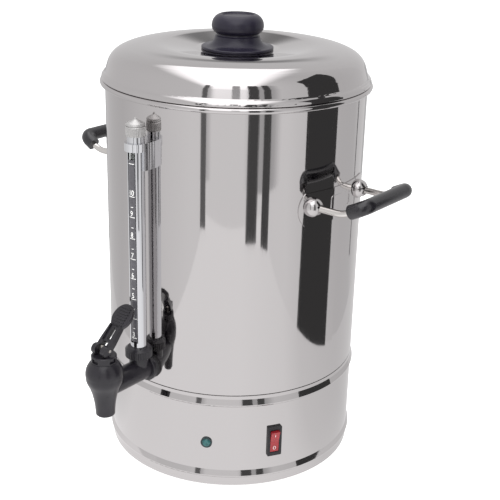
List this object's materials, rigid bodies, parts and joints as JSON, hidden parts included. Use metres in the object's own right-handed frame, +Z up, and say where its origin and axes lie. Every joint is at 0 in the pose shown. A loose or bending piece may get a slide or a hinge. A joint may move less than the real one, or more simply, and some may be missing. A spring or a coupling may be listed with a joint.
{
  "type": "hot water urn",
  "caption": "Stainless hot water urn with a lift-off lid, a lever tap, a side level gauge, bail handles, a rocker switch and a lamp.",
  "frame": {"origin": "on the body's axis at the level of the worktop, under the feet", "axes": "+Z up along the body's axis; the tap and the level gauge point along -Y; the bail handles stand out along +X and -X; the mains inlet faces +Y"},
  "size_m": [0.3762, 0.3432, 0.4542],
  "materials": {
    "mirror_steel": "mirror-polished stainless sheet",
    "plain_steel": "mill-finish stainless sheet",
    "zinc_fastener": "zinc-plated steel fasteners",
    "bright_wire": "polished stainless wire",
    "grip_black": "black grip tube, soft satin",
    "knob_black": "black phenolic, satin",
    "foot_rubber": "black rubber",
    "spreader_aluminium": "turned aluminium",
    "heater_sheath": "heat-stained element sheath",
    "sensor_body": "brown phenolic body with a metal cap",
    "block_nylon": "natural nylon",
    "tap_black": "black moulded plastic, satin",
    "seal_rubber": "black gasket rubber",
    "seal_silicone": "translucent silicone",
    "valve_steel": "stainless rod and spring wire",
    "gauge_chrome": "bright chrome plate",
    "cap_nickel": "satin nickel plate",
    "gauge_glass": "clear glass tube",
    "scale_film": "dark film with white marks",
    "switch_black": "black moulded plastic, semi-gloss",
    "rocker_red": "red moulded plastic, glossy",
    "lamp_lens": "teal faceted lens",
    "terminal_brass": "tinned brass tabs and pins"
  },
  "bodies": {
    "body": {"base_plate": "plain_steel", "base_skirt": "mirror_steel", "block_screws": "zinc_fastener", "bracket_screws": "zinc_fastener", "bracket_washers": "zinc_fastener", "cap_seal_ring": "seal_silicone", "clamp_nut": "zinc_fastener", "element_clamp": "plain_steel", "foot_nuts": "zinc_fastener", "foot_screws": "zinc_fastener", "gauge_bracket": "gauge_chrome", "gauge_cap": "cap_nickel", "gauge_glass": "gauge_glass", "gauge_guard": "gauge_chrome", "gauge_nut": "tap_black", "gauge_seal_ring": "seal_silicone", "handle_plate_left": "mirror_steel", "handle_plate_right": "mirror_steel", "heat_spreader": "spreader_aluminium", "heating_element": "heater_sheath", "inlet_nuts": "zinc_fastener", "inlet_pins": "terminal_brass", "inlet_screws": "zinc_fastener", "inlet_socket": "switch_black", "inner_gasket": "seal_silicone", "lamp_body": "switch_black", "lamp_lens": "lamp_lens", "lamp_nut": "switch_black", "rubber_feet": "foot_rubber", "scale_strip": "scale_film", "sensor_nuts": "zinc_fastener", "sensor_studs": "zinc_fastener", "switch_body": "switch_black", "switch_tabs": "terminal_brass", "tank_floor": "plain_steel", "tank_wall": "mirror_steel", "tap_arm": "tap_black", "tap_body": "tap_black", "tap_bonnet": "tap_black", "tap_locknut": "tap_black", "tap_spring": "valve_steel", "terminal_block": "block_nylon", "thermal_cutout": "sensor_body", "thermostat": "sensor_body", "tie_nut": "zinc_fastener", "tie_stud": "zinc_fastener", "wall_gasket": "seal_rubber"},
    "lid": {"lid_shell": "mirror_steel", "lid_knob": "knob_black", "knob_screw": "zinc_fastener", "knob_washer": "zinc_fastener"},
    "tap_stem": {"tap_stem": "valve_steel", "seat_cup": "seal_silicone"},
    "tap_lever": {"tap_lever": "tap_black", "lever_pin": "valve_steel"},
    "switch_rocker": {"switch_rocker": "rocker_red"},
    "bail_right": {"bail_right": "bright_wire", "grip_right": "grip_black"},
    "bail_left": {"bail_left": "bright_wire", "grip_left": "grip_black"}
  },
  "joints": [
    {"name": "lid_lift", "type": "slide", "parent": "body", "child": "lid", "axis": [0, 0, 1], "range_m": [0, 0.15]},
    {"name": "stem_lift", "type": "slide", "parent": "body", "child": "tap_stem", "axis": [0, 0, 1], "range_m": [0, 0.0036], "deforming": ["tap_spring"]},
    {"name": "lever_tilt", "type": "hinge", "parent": "tap_stem", "child": "tap_lever", "pos_m": [0, -0.1902, 0.163], "axis": [1, 0, 0], "range_deg": [0, 70], "stiffness_Nm_per_rad": 0.02, "springref_deg": -11.46},
    {"name": "rocker_turn", "type": "hinge", "parent": "body", "child": "switch_rocker", "pos_m": [0.11155, -0.06676, 0.0516], "axis": [-0.5135, -0.8581, 0], "range_deg": [0, 16]},
    {"name": "bail_right_swing", "type": "hinge", "parent": "body", "child": "bail_right", "pos_m": [0.1299, 0, 0.2947], "axis": [0, 1, 0], "range_deg": [0, 80]},
    {"name": "bail_left_swing", "type": "hinge", "parent": "body", "child": "bail_left", "pos_m": [-0.1299, 0, 0.2947], "axis": [0, -1, 0], "range_deg": [0, 80]}
  ],
  "couplings": [
    {"joint": "lever_tilt", "follows": "stem_lift", "rad_per_m": 339.37}
  ]
}
